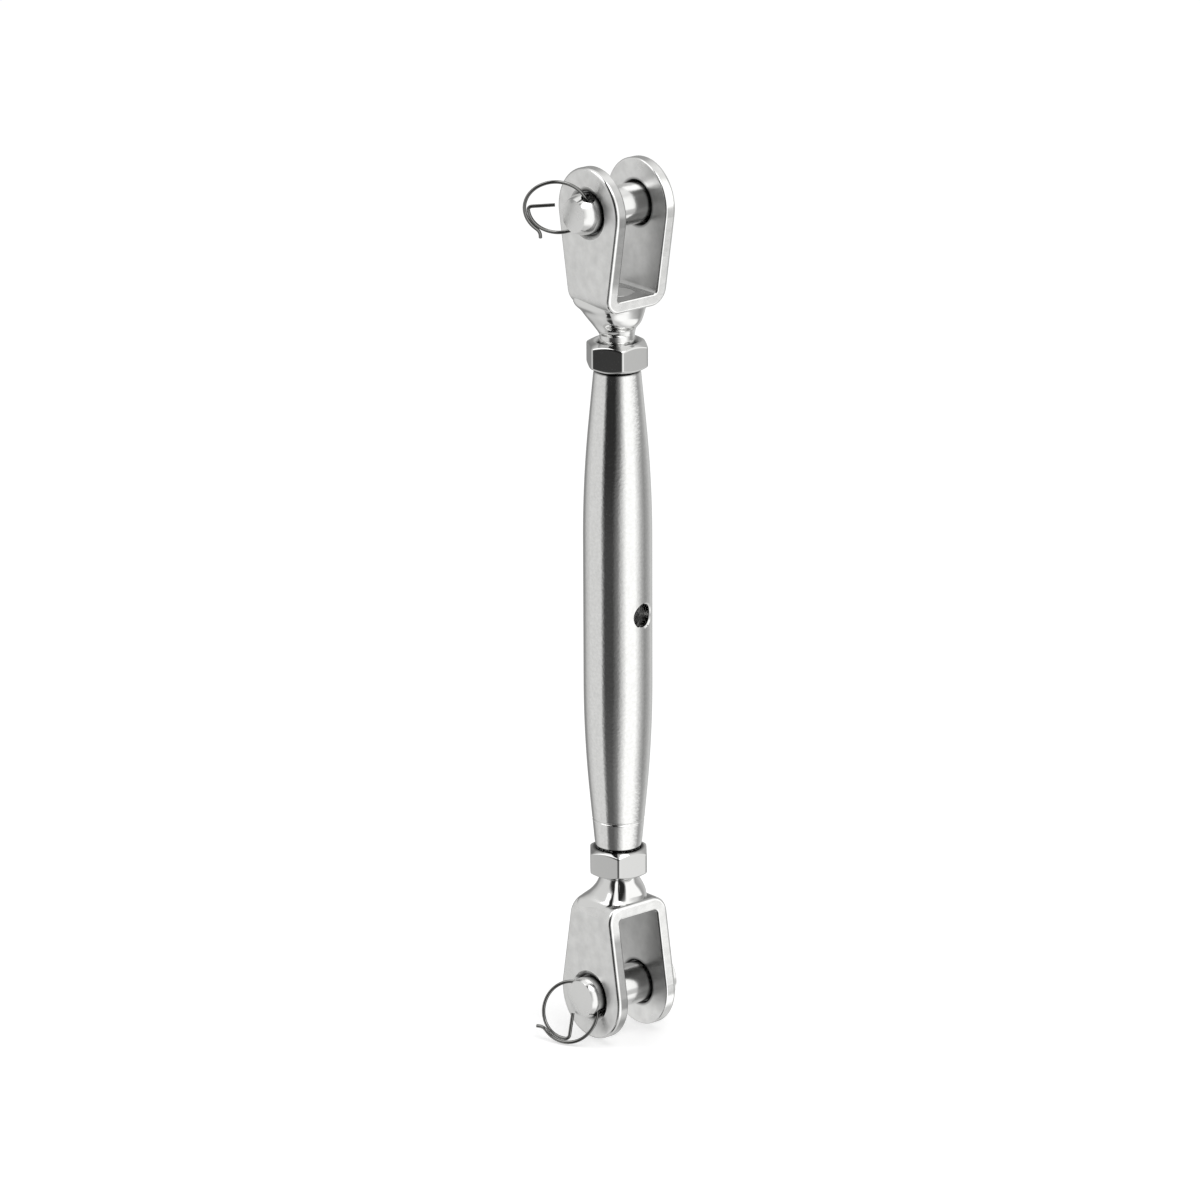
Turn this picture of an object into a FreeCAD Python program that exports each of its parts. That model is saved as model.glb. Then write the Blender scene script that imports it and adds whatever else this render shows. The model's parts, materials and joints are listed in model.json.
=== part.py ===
import math
import os
import FreeCAD
import Part
import Sketcher

# A closed body rigging screw with a folded jaw at each end. Millimetres, +Z up.
# The origin is the middle of the turned body, on its axis, level with the turning bar hole.
# Both clevis pins lie along X, and their split rings are at the -X end.

SIZES = [
    ("barrel_length", 114.6, "turned body, end to end"),
    ("barrel_radius", 7.9, "middle of the body"),
    ("barrel_plain_half", 17.0, "half length of the straight middle"),
    ("barrel_end_radius", 5.35, "end of the taper"),
    ("barrel_curve_share", 0.667, "part of the taper that is one long curve, a ratio"),
    ("barrel_end_chamfer", 0.4, "outer edge of each end"),
    ("barrel_bore", 4.05, "radius over the stud threads"),
    ("barrel_relief", 5.2, "radius of the wider middle of the bore"),
    ("barrel_relief_half", 30.0, "half length of the wider middle"),
    ("barrel_relief_run", 1.5, "slope between the two bores"),
    ("barrel_mouth", 0.5, "chamfer at each mouth of the bore"),
    ("mark_from_end", 6.9, "left hand mark to the lower end"),
    ("mark_half_width", 0.35, "half width of the marking groove"),
    ("mark_depth", 0.3, "depth of the marking groove"),
    ("bar_hole", 2.75, "radius of the cross hole for the turning bar"),
    ("bar_hole_rim", 0.35, "chamfer of that hole"),
    ("bar_hole_turn", 9.75, "degrees from the front towards +X"),
    ("nut_flats", 13.0, "across the flats"),
    ("nut_height", 6.5, "thickness of a locknut"),
    ("nut_face", 6.25, "radius of the flat ring on each nut face"),
    ("nut_mouth", 0.45, "chamfer of the nut bore"),
    ("nut_gap", 0.05, "locknut to body end"),
    ("upper_nut_turn", -1.2, "degrees"),
    ("lower_nut_turn", -9.7, "degrees"),
    ("stud_radius", 4.0, "eight millimetre thread, crest"),
    ("stud_length", 61.6, "web inner face to tip"),
    ("stud_point", 0.9, "chamfer at the tip"),
    ("neck_top", 5.6, "web outer face to where the neck starts to swell"),
    ("neck_round", 4.9, "web outer face to the round section of the neck"),
    ("neck_round_radius", 4.4, "radius of the round section"),
    ("neck_slim", 3.4, "web outer face to the slimmer section of the neck"),
    ("neck_slim_half", 5.2, "neck half size, slimmer section"),
    ("neck_wide", 1.4, "web outer face to the wider section of the neck"),
    ("neck_wide_half", 6.2, "neck half size, wider section"),
    ("neck_across", 7.0, "neck half size along X, at the web"),
    ("neck_deep", 6.4, "neck half size along Y, at the web"),
    ("neck_into_web", 1.6, "how far the weld climbs around the bend"),
    ("upper_neck_swell", 1.0, "more weld along X on the upper neck"),
    ("lower_neck_swell", 0.1, "more weld along X on the lower neck"),
    ("jaw_gap", 11.6, "between the two ears"),
    ("strap", 3.0, "thickness of the folded strap"),
    ("bend", 0.9, "inner radius of each bend"),
    ("ear_radius", 10.3, "rounded ear end"),
    ("web_depth", 22.8, "clevis pin centre to the outer face of the web"),
    ("web_half_width", 6.6, "half width of the strap at the web"),
    ("strap_overrun", 2.0, "drawing allowance below the web"),
    ("strap_edge", 0.85, "rounding of the outer strap edges"),
    ("strap_inner_edge", 0.4, "rounding of the inner strap edges"),
    ("ear_hole", 4.95, "radius of the pin holes"),
    ("ear_rim_outer", 6.1, "radius of the shallow outer countersink"),
    ("ear_rim_depth", 0.6, "depth of the outer countersink"),
    ("ear_rim_inner", 5.35, "radius of the inner edge break"),
    ("upper_web_reach", 14.8, "body end to the outer face of the upper web"),
    ("lower_web_reach", 12.3, "body end to the outer face of the lower web"),
    ("pin_radius", 4.75, "clevis pin shank"),
    ("pin_grip", 19.3, "cross hole centre to the underside of the head"),
    ("pin_tip", 2.7, "cross hole centre to the pin end"),
    ("pin_chamfer", 0.5, "pin end"),
    ("pin_head_radius", 6.5, "clevis pin head"),
    ("pin_head_height", 2.2, "clevis pin head"),
    ("pin_head_edge", 0.45, "edge break of the head"),
    ("pin_cross_hole", 1.6, "radius of the hole for the ring"),
    ("upper_pin_out", 10.1, "upper cross hole from the middle plane"),
    ("lower_pin_out", 9.0, "lower cross hole from the middle plane"),
    ("upper_pin_turn", 25.9, "degrees about X"),
    ("lower_pin_turn", -49.6, "degrees about X"),
    ("wire_radius", 0.4, "ring wire"),
    ("ring_small", 6.66, "radius of the first half turn"),
    ("ring_step", 0.85, "how far the coil grows in a turn"),
    ("ring_bend", 0.9, "bend radius at the inner leg"),
    ("ring_leg_end", 0.4, "distance of the leg end from the ring middle"),
    ("ring_overlap_turn", 45.0, "degrees of doubled wire"),
    ("ring_flare", 2.4, "bend radius of the flared tail"),
    ("ring_flare_turn", 46.0, "degrees of the flare"),
    ("ring_tail", 0.7, "straight end of the tail"),
    ("ring_in_hole", 1.0, "bow of the wire behind the cross hole centre"),
    ("upper_ring_swing_turn", -38.2, "degrees about the cross hole"),
    ("lower_ring_swing_turn", -56.7, "degrees about the cross hole"),
    ("upper_ring_slip_turn", -21.0, "degrees, where the inner leg starts"),
    ("lower_ring_slip_turn", -48.0, "degrees, where the inner leg starts"),
]

doc = FreeCAD.newDocument("rigging_screw")
sheet = doc.addObject("Spreadsheet::Sheet", "Sizes")
values = {}
for row, (name, number, note) in enumerate(SIZES, start=1):
    sheet.set("A%d" % row, name)
    sheet.set("B%d" % row, str(number))
    sheet.set("C%d" % row, note)
    sheet.setAlias("B%d" % row, name)
    values[name] = number
doc.recompute()


class Size:
    """A length that carries its number and the sheet expression it comes from."""

    def __init__(self, number, text):
        self.number = float(number)
        self.text = text

    def __add__(self, other):
        other = as_size(other)
        return Size(self.number + other.number, "(%s + %s)" % (self.text, other.text))

    def __radd__(self, other):
        return as_size(other) + self

    def __sub__(self, other):
        other = as_size(other)
        return Size(self.number - other.number, "(%s - %s)" % (self.text, other.text))

    def __rsub__(self, other):
        return as_size(other) - self

    def __mul__(self, other):
        other = as_size(other)
        return Size(self.number * other.number, "(%s * %s)" % (self.text, other.text))

    def __rmul__(self, other):
        return as_size(other) * self

    def __truediv__(self, other):
        other = as_size(other)
        return Size(self.number / other.number, "(%s / %s)" % (self.text, other.text))

    def __neg__(self):
        return Size(-self.number, "(0 - %s)" % self.text)


def as_size(thing):
    return thing if isinstance(thing, Size) else Size(thing, repr(float(thing)))


def size(name):
    return Size(values[name], "Sizes." + name)


def new_body(label):
    body = doc.addObject("PartDesign::Body", label + "_body")
    body.Label = label
    return body


def origin_plane(body, role):
    for item in body.Origin.OriginFeatures:
        if item.Role == role:
            return item
    raise ValueError("no origin plane " + role)


def new_sketch(body, name, role, lift=None):
    sketch = body.newObject("Sketcher::SketchObject", name)
    sketch.AttachmentSupport = [(origin_plane(body, role), "")]
    sketch.MapMode = "FlatFace"
    if lift is not None:
        sketch.setExpression(".AttachmentOffset.Base.z", lift.text)
    return sketch


def pin_point(sketch, index, end, point):
    for kind, value in (("DistanceX", point[0]), ("DistanceY", point[1])):
        where = sketch.addConstraint(Sketcher.Constraint(kind, -1, 1, index, end, value.number))
        sketch.setExpression("Constraints[%d]" % where, value.text)


def arc_between(start, end, radius, left):
    """An arc from start to end, turning left or right as it is walked."""
    dx = end[0] - start[0]
    dy = end[1] - start[1]
    half = math.hypot(dx, dy) / 2
    rise = math.sqrt(max(radius * radius - half * half, 0))
    side = 1 if left else -1
    cx = (start[0] + end[0]) / 2 - side * rise * dy / (2 * half)
    cy = (start[1] + end[1]) / 2 + side * rise * dx / (2 * half)
    first = math.atan2(start[1] - cy, start[0] - cx)
    last = math.atan2(end[1] - cy, end[0] - cx)
    circle = Part.Circle(FreeCAD.Vector(cx, cy, 0), FreeCAD.Vector(0, 0, 1), radius)
    if left:
        return Part.ArcOfCircle(circle, first, last)
    return Part.ArcOfCircle(circle, last, first)


def draw_outline(sketch, points, arcs=None):
    """Closed outline through the points; arcs maps a side's number to (radius, turns left)."""
    arcs = arcs or {}
    points = [(as_size(x), as_size(y)) for x, y in points]
    count = len(points)
    ends = []
    for i in range(count):
        here = [value.number for value in points[i]]
        there = [value.number for value in points[(i + 1) % count]]
        if i in arcs:
            radius, left = arcs[i]
            index = sketch.addGeometry(arc_between(here, there, radius.number, left), False)
            ends.append((index, 1, 2) if left else (index, 2, 1))
        else:
            line = Part.LineSegment(FreeCAD.Vector(*here, 0), FreeCAD.Vector(*there, 0))
            index = sketch.addGeometry(line, False)
            ends.append((index, 1, 2))
    for i in range(count):
        index, start, end = ends[i]
        following, first, last = ends[(i + 1) % count]
        sketch.addConstraint(Sketcher.Constraint("Coincident", index, end, following, first))
    for i in range(count):
        index, start, end = ends[i]
        pin_point(sketch, index, start, points[i])
    for i, (radius, left) in arcs.items():
        where = sketch.addConstraint(Sketcher.Constraint("Radius", ends[i][0], radius.number))
        sketch.setExpression("Constraints[%d]" % where, radius.text)


def draw_circle(sketch, x, y, radius):
    x = as_size(x)
    y = as_size(y)
    circle = Part.Circle(FreeCAD.Vector(x.number, y.number, 0), FreeCAD.Vector(0, 0, 1), radius.number)
    index = sketch.addGeometry(circle, False)
    pin_point(sketch, index, 3, (x, y))
    where = sketch.addConstraint(Sketcher.Constraint("Radius", index, radius.number))
    sketch.setExpression("Constraints[%d]" % where, radius.text)


def turned(body, kind, name, sketch, axis):
    feature = body.newObject("PartDesign::" + kind, name)
    feature.Profile = sketch
    feature.ReferenceAxis = (sketch, [axis])
    feature.Angle = 360
    return feature


def straight(body, kind, name, sketch, length=None):
    """A pad, or a pocket through everything, that reaches the same way on both sides."""
    feature = body.newObject("PartDesign::" + kind, name)
    feature.Profile = sketch
    feature.SideType = "Symmetric"
    if length is None:
        feature.Type = "ThroughAll"
    else:
        feature.setExpression("Length", length.text)
    return feature


def edges_where(feature, wanted):
    names = []
    for number, edge in enumerate(feature.Shape.Edges, start=1):
        if wanted(edge):
            names.append("Edge%d" % number)
    return names


def dress(body, kind, name, base, names, amount):
    feature = body.newObject("PartDesign::" + kind, name)
    feature.Base = (base, names)
    feature.setExpression("Radius" if kind == "Fillet" else "Size", amount.text)
    return feature


def place(thing, position, rotation):
    thing.Placement = FreeCAD.Placement(FreeCAD.Vector(*position), rotation)


def make_barrel():
    body = new_body("barrel")
    half = size("barrel_length") / 2
    plain = size("barrel_plain_half")
    middle = size("barrel_radius")
    end_r = size("barrel_end_radius")
    share = size("barrel_curve_share")
    taper = half - plain
    slope = (middle - end_r) / (taper * (1 - share / 2))
    curve = share * taper / slope
    turn_z = plain + share * taper
    turn_r = middle - slope * share * taper / 2
    cut = size("barrel_end_chamfer")
    bore = size("barrel_bore")
    relief = size("barrel_relief")
    step_z = size("barrel_relief_half")
    step = size("barrel_relief_run")
    mouth = size("barrel_mouth")
    points = [
        (bore, mouth - half),
        (bore + mouth, -half),
        (end_r - cut, -half),
        (end_r, cut - half),
        (turn_r, -turn_z),
        (middle, -plain),
        (middle, plain),
        (turn_r, turn_z),
        (end_r, half - cut),
        (end_r - cut, half),
        (bore + mouth, half),
        (bore, half - mouth),
        (bore, step_z),
        (relief, step_z - step),
        (relief, step - step_z),
        (bore, -step_z),
    ]
    sketch = new_sketch(body, "barrel_profile", "XZ_Plane")
    draw_outline(sketch, points, {4: (curve, True), 6: (curve, True)})
    turned(body, "Revolution", "barrel_turning", sketch, "V_Axis")
    level = half - size("mark_from_end")
    wide = size("mark_half_width")
    floor_r = turn_r - slope * (level - turn_z) - size("mark_depth")
    mark = new_sketch(body, "mark_profile", "XZ_Plane")
    draw_outline(
        mark,
        [(floor_r, -level), (middle, -level - wide * 2), (middle, wide * 2 - level)],
    )
    turned(body, "Groove", "mark_groove", mark, "V_Axis")
    cross = new_sketch(body, "bar_hole_profile", "XZ_Plane")
    draw_circle(cross, 0, 0, size("bar_hole"))
    hole = straight(body, "Pocket", "bar_hole_cut", cross)
    doc.recompute()
    limit = values["bar_hole"] + 0.05

    def at_mouth(edge):
        box = edge.BoundBox
        far = min(abs(box.YMin), abs(box.YMax)) > values["barrel_radius"] - 1
        return far and box.XMax < limit and box.XMin > -limit and box.ZMax < limit and box.ZMin > -limit

    dress(body, "Chamfer", "bar_hole_edge", hole, edges_where(hole, at_mouth), size("bar_hole_rim"))
    place(body, (0, 0, 0), FreeCAD.Rotation(FreeCAD.Vector(0, 0, 1), values["bar_hole_turn"]))
    return body


def make_nut(label, height, turn):
    body = new_body(label)
    flat = size("nut_flats")
    sketch = new_sketch(body, label + "_hexagon", "XY_Plane")
    corners = []
    for i in range(6):
        angle = math.radians(60 * i)
        corners.append(
            (flat * (math.cos(angle) / math.sqrt(3)), flat * (math.sin(angle) / math.sqrt(3)))
        )
    draw_outline(sketch, corners)
    straight(body, "Pad", label + "_block", sketch, size("nut_height"))
    half = size("nut_height") / 2
    bore = size("barrel_bore")
    mouth = size("nut_mouth")
    hole = new_sketch(body, label + "_bore_profile", "XZ_Plane")
    over = half + 1
    draw_outline(
        hole,
        [
            (0, -over),
            (bore + mouth + 1, -over),
            (bore, mouth - half),
            (bore, half - mouth),
            (bore + mouth + 1, over),
            (0, over),
        ],
    )
    turned(body, "Groove", label + "_bore", hole, "V_Axis")
    face = size("nut_face")
    reach = face + 2.0
    drop = 2.0 * math.tan(math.radians(30))
    for sign, word in ((1, "top"), (-1, "bottom")):
        corner = new_sketch(body, label + "_" + word + "_profile", "XZ_Plane")
        draw_outline(
            corner,
            [(face, half * sign), (reach, (half - drop) * sign), (reach, over * sign), (face, over * sign)],
        )
        turned(body, "Groove", label + "_" + word + "_chamfer", corner, "V_Axis")
    place(body, (0, 0, height), FreeCAD.Rotation(FreeCAD.Vector(0, 0, 1), turn))
    return body


def make_jaw(label, height, flip):
    """The strap folded to a U, drawn with its pin hole centre at the origin and its web below."""
    body = new_body(label)
    inner = size("jaw_gap") / 2
    strap = size("strap")
    outer = inner + strap
    top = size("ear_radius") + 1
    web = -size("web_depth")
    bend = size("bend")
    wide = bend + strap
    fold = new_sketch(body, label + "_fold", "XZ_Plane")
    draw_outline(
        fold,
        [
            (-inner, top),
            (-outer, top),
            (-outer, web + wide),
            (wide - outer, web),
            (outer - wide, web),
            (outer, web + wide),
            (outer, top),
            (inner, top),
            (inner, web + wide),
            (inner - bend, web + strap),
            (bend - inner, web + strap),
            (-inner, web + wide),
        ],
        {2: (wide, True), 4: (wide, True), 8: (bend, False), 10: (bend, False)},
    )
    straight(body, "Pad", label + "_strap", fold, size("ear_radius") * 2 + 2)
    radius = size("ear_radius")
    foot = size("web_half_width")
    # the straight sides leave the round end as tangents to it and run on past the web
    lean = math.atan2(values["web_half_width"], values["web_depth"])
    reach = math.hypot(values["web_half_width"], values["web_depth"])
    direction = lean + math.acos(values["ear_radius"] / reach) - math.pi / 2
    touch_y = radius * math.cos(direction)
    touch_z = radius * math.sin(direction)
    past = (foot - touch_y) / (web - touch_z)
    run = size("strap_overrun")
    end_y = foot - past * run
    end_z = web - run
    frame = top + 2
    side = new_sketch(body, label + "_side_profile", "YZ_Plane")
    draw_outline(
        side,
        [
            (end_y, end_z),
            (touch_y, touch_z),
            (0, radius),
            (-touch_y, touch_z),
            (-end_y, end_z),
        ],
        {1: (radius, True), 2: (radius, True)},
    )
    draw_outline(side, [(-frame, end_z - 1), (frame, end_z - 1), (frame, frame), (-frame, frame)])
    trimmed = straight(body, "Pocket", label + "_sides", side)
    doc.recompute()

    def outline_edge(edge):
        box = edge.BoundBox
        along_y = box.XLength < 0.01 and box.ZLength < 0.01
        across = box.YLength < 0.01 and box.ZLength < 0.01
        return not along_y and not across

    def inner_edge(edge):
        box = edge.BoundBox
        beyond = max(abs(box.XMin), abs(box.XMax)) > inner.number + 0.01
        return outline_edge(edge) and not beyond and box.ZMin > web.number + strap.number - 0.01

    def outer_edge(edge):
        return outline_edge(edge) and not inner_edge(edge)

    rounded = dress(
        body, "Fillet", label + "_outer_edges", trimmed, edges_where(trimmed, outer_edge), size("strap_edge")
    )
    doc.recompute()
    dress(
        body, "Fillet", label + "_inner_edges", rounded, edges_where(rounded, inner_edge), size("strap_inner_edge")
    )
    seat = new_sketch(body, label + "_stud_hole_profile", "XY_Plane", web - 1)
    draw_circle(seat, 0, 0, size("stud_radius"))
    drilled = body.newObject("PartDesign::Pocket", label + "_stud_hole")
    drilled.Profile = seat
    drilled.Reversed = True
    drilled.setExpression("Length", (strap + 2).text)
    hole = size("ear_hole")
    rim = size("ear_rim_outer")
    inside = size("ear_rim_inner")
    depth = size("ear_rim_depth")
    small = inside - hole
    bore = new_sketch(body, label + "_pin_hole_profile", "XZ_Plane")
    draw_outline(
        bore,
        [
            (-outer - 1, 0),
            (-outer - 1, rim),
            (-outer, rim),
            (depth - outer, hole),
            (-inner - small, hole),
            (-inner, inside),
            (inner, inside),
            (inner + small, hole),
            (outer - depth, hole),
            (outer, rim),
            (outer + 1, rim),
            (outer + 1, 0),
        ],
    )
    turned(body, "Groove", label + "_pin_holes", bore, "H_Axis")
    place(body, (0, 0, height), flip)
    return body


def oval(level, across, deep, squareness):
    """A closed section that is an ellipse at squareness 2 and nears a rounded rectangle above it."""
    points = []
    for i in range(36):
        turn = math.radians(10 * i)
        reach = abs(math.cos(turn) / across) ** squareness + abs(math.sin(turn) / deep) ** squareness
        reach = reach ** (-1 / squareness)
        points.append(FreeCAD.Vector(reach * math.cos(turn), reach * math.sin(turn), level))
    curve = Part.BSplineCurve()
    curve.interpolate(Points=points, PeriodicFlag=True)
    return Part.Wire([curve.toShape()])


def make_stud(label, jaw, height, flip, swell):
    """The threaded shank with its flared and welded neck, cut to fit the folded strap."""
    shank_body = new_body(label + "_shank")
    low = size("web_depth") - size("strap")
    tip = low + size("stud_length")
    shank = size("stud_radius")
    point = size("stud_point")
    rod = new_sketch(shank_body, label + "_profile", "XZ_Plane")
    draw_outline(rod, [(0, -tip), (shank - point, -tip), (shank, point - tip), (shank, -low), (0, -low)])
    turned(shank_body, "Revolution", label + "_turning", rod, "V_Axis")
    place(shank_body, (0, 0, height), flip)
    web = values["web_depth"]
    even = values["neck_round_radius"]
    slim = values["neck_slim_half"]
    wide = values["neck_wide_half"]
    # the first section lies just inside the shank, so that the two surfaces cross cleanly
    inside = values["stud_radius"] - 0.1
    sections = [
        oval(-web - values["neck_top"] - 0.2, inside, inside, 2.0),
        oval(-web - values["neck_round"], even + swell * 0.4, even, 2.0),
        oval(-web - values["neck_slim"], slim + swell, slim, 2.2),
        oval(-web - values["neck_wide"], wide + swell, wide, 2.8),
        oval(-web, values["neck_across"] + swell, values["neck_deep"], 3.5),
    ]
    flare = Part.makeLoft(sections, True, False)
    collar = Part.Face(sections[4]).extrude(FreeCAD.Vector(0, 0, values["neck_into_web"]))
    neck = doc.addObject("Part::Feature", label + "_neck")
    neck.Shape = flare.fuse(collar)
    place(neck, (0, 0, height), flip)
    joined = doc.addObject("Part::Fuse", label + "_joined")
    joined.Base = shank_body
    joined.Tool = neck
    stud = doc.addObject("Part::Cut", label)
    stud.Label = label
    stud.Base = joined
    stud.Tool = jaw
    return stud


def make_pin(label, out, height, turn):
    """A clevis pin along X, drawn with its cross hole centre at the origin."""
    body = new_body(label)
    radius = size("pin_radius")
    tip = size("pin_tip")
    chamfer = size("pin_chamfer")
    grip = size("pin_grip")
    head = size("pin_head_radius")
    edge = size("pin_head_edge")
    end = grip + size("pin_head_height")
    profile = new_sketch(body, label + "_profile", "XZ_Plane")
    draw_outline(
        profile,
        [
            (-tip, 0),
            (-tip, radius - chamfer),
            (chamfer - tip, radius),
            (grip, radius),
            (grip, head - edge / 2),
            (grip + edge / 2, head),
            (end - edge, head),
            (end, head - edge),
            (end, 0),
        ],
    )
    turned(body, "Revolution", label + "_turning", profile, "H_Axis")
    cross = new_sketch(body, label + "_cross_profile", "XY_Plane")
    draw_circle(cross, 0, 0, size("pin_cross_hole"))
    straight(body, "Pocket", label + "_cross_hole", cross)
    place(body, (-out, 0, height), FreeCAD.Rotation(FreeCAD.Vector(1, 0, 0), turn))
    return body


def ring_path():
    """Centre line of the one wire ring: inner leg, a turn and an eighth, flared tail."""
    step = values["ring_step"]
    first = values["ring_small"]
    second = first + step / 2
    third = first + step
    shift = step / 4
    start = first - shift
    bend = values["ring_bend"]
    up = FreeCAD.Vector(0, 0, 1)

    def arc(x, y, radius, begin, finish):
        circle = Part.Circle(FreeCAD.Vector(x, y, 0), up, radius)
        return Part.ArcOfCircle(circle, math.radians(begin), math.radians(finish)).toShape()

    overlap = values["ring_overlap_turn"]
    turn = math.radians(overlap)
    leave = FreeCAD.Vector(third * math.cos(turn) - shift, third * math.sin(turn), 0)
    outward = FreeCAD.Vector(math.cos(turn), math.sin(turn), 0)
    flare = values["ring_flare"]
    middle = leave + outward * flare
    sweep = values["ring_flare_turn"]
    last = turn + math.pi - math.radians(sweep)
    finish = middle + FreeCAD.Vector(math.cos(last), math.sin(last), 0) * flare
    along = FreeCAD.Vector(math.sin(last), -math.cos(last), 0)
    leg_start = FreeCAD.Vector(values["ring_leg_end"], -bend, 0)
    leg_stop = FreeCAD.Vector(start - bend, -bend, 0)
    pieces = [
        Part.makeLine(leg_start, leg_stop),
        arc(start - bend, 0, bend, -90, 0),
        arc(-shift, 0, first, 0, 180),
        arc(shift, 0, second, 180, 360),
        arc(-shift, 0, third, 0, overlap),
        arc(middle.x, middle.y, flare, overlap + 180 - sweep, overlap + 180),
        Part.makeLine(finish, finish + along * values["ring_tail"]),
    ]
    return Part.Wire(Part.sortEdges(pieces)[0]), leg_start


def ring_radius(angle):
    """Distance from the ring's middle to its first turn, at an angle from the inner leg."""
    shift = values["ring_step"] / 4
    centre = -shift if angle < 180 else shift
    radius = values["ring_small"] + (0 if angle < 180 else values["ring_step"] / 2)
    turn = math.radians(angle)
    return centre * math.cos(turn) + math.sqrt(radius ** 2 - (centre * math.sin(turn)) ** 2)


def make_ring(label, out, height, turn, swing, slip, mirrored):
    """The ring stands in its pin's cross hole, swung about that hole and slipped around it."""
    path, start = ring_path()
    circle = Part.Circle(start, FreeCAD.Vector(1, 0, 0), values["wire_radius"])
    wire = path.makePipeShell([Part.Wire([circle.toShape()])], True, True)
    ring = doc.addObject("Part::Feature", label)
    ring.Label = label
    ring.Shape = wire
    turn = math.radians(turn)
    swing = math.radians(swing)
    hole = FreeCAD.Vector(0, -math.sin(turn), math.cos(turn))
    side = FreeCAD.Vector(0, -math.cos(turn), -math.sin(turn))
    away = FreeCAD.Vector(-1, 0, 0) * math.cos(swing) + side * math.sin(swing)
    angle = 180 + slip if mirrored else 180 - slip
    middle = FreeCAD.Vector(-out, 0, height) + away * (ring_radius(angle) - values["ring_in_hole"])
    slip = math.radians(slip)
    along_x = away * math.cos(slip) + hole * math.sin(slip)
    along_y = hole * math.cos(slip) - away * math.sin(slip)
    if mirrored:
        along_y = along_y * -1
    along_z = along_x.cross(along_y)
    matrix = FreeCAD.Matrix(
        along_x.x, along_y.x, along_z.x, middle.x,
        along_x.y, along_y.y, along_z.y, middle.y,
        along_x.z, along_y.z, along_z.z, middle.z,
        0, 0, 0, 1,
    )
    ring.Placement = FreeCAD.Placement(matrix)
    return ring


nut_middle = values["barrel_length"] / 2 + values["nut_gap"] + values["nut_height"] / 2
upright = FreeCAD.Rotation()
over = FreeCAD.Rotation(FreeCAD.Vector(1, 0, 0), 180)
ends = [("upper", 1, upright), ("lower", -1, over)]
nodes = [make_barrel()]
for word, sign, facing in ends:
    height = sign * (values["barrel_length"] / 2 + values[word + "_web_reach"] + values["web_depth"])
    out = values[word + "_pin_out"]
    turn = values[word + "_pin_turn"]
    nodes.append(make_nut(word + "_locknut", sign * nut_middle, values[word + "_nut_turn"]))
    jaw = make_jaw(word + "_jaw", height, facing)
    nodes.append(jaw)
    doc.recompute()
    nodes.append(make_stud(word + "_stud", jaw, height, facing, values[word + "_neck_swell"]))
    nodes.append(make_pin(word + "_clevis_pin", out, height, turn))
    swing = values[word + "_ring_swing_turn"]
    slip = values[word + "_ring_slip_turn"]
    nodes.append(make_ring(word + "_split_ring", out, height, turn, swing, slip, word == "upper"))
doc.recompute()

for thing in doc.Objects:
    for word in ("Invalid", "Error"):
        if word in thing.State:
            raise RuntimeError(thing.Name + " is " + word)
for node in nodes:
    shape = node.Shape
    if shape.isNull() or not shape.isValid() or len(shape.Solids) != 1:
        raise RuntimeError(node.Label + " is not one sound solid")

os.makedirs("parts", exist_ok=True)
for node in nodes:
    node.Shape.exportStep(os.path.join("parts", node.Label + ".step"))
    print(node.Label, round(node.Shape.Volume, 2))
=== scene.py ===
import json
import math
import bmesh
import bpy
import numpy as np
from mathutils import Matrix, Vector


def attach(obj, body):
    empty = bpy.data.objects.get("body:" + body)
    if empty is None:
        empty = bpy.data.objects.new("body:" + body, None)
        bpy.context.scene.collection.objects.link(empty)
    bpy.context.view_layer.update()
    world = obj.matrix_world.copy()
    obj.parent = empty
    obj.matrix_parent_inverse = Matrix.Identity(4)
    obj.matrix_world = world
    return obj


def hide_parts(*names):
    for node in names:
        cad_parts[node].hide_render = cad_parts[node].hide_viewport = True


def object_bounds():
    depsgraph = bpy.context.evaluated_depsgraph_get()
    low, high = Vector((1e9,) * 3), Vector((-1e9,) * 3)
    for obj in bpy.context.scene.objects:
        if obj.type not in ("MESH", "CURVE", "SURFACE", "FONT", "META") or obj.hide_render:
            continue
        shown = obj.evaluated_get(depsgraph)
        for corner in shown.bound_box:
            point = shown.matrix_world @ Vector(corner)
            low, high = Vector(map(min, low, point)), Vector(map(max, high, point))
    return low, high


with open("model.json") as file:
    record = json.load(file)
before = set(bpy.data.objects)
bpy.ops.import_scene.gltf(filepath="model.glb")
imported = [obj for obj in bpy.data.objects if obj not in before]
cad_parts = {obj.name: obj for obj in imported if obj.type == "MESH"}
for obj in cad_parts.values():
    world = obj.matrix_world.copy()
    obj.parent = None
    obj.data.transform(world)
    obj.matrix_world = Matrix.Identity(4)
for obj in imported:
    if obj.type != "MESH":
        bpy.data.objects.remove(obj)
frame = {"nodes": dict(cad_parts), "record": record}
cad_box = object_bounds()
nodes = frame["nodes"]
scene = bpy.context.scene
MM = 0.001

# camera, at the photograph's angle

AZIMUTH = math.radians(-40.27)
ELEVATION = math.radians(18.05)
DISTANCE = 1.6
FRAME_WIDTH = 1.2 / 4.38
back = Vector((
    math.sin(AZIMUTH) * math.cos(ELEVATION),
    -math.cos(AZIMUTH) * math.cos(ELEVATION),
    math.sin(ELEVATION),
))
right = Vector((math.cos(AZIMUTH), math.sin(AZIMUTH), 0))
up = back.cross(right)
lens = bpy.data.cameras.new("camera")
lens.sensor_width = 36.0
lens.lens = 36.0 * DISTANCE / FRAME_WIDTH
lens.clip_start = 0.01
lens.clip_end = 20.0
camera = bpy.data.objects.new("camera", lens)
scene.collection.objects.link(camera)
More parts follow.
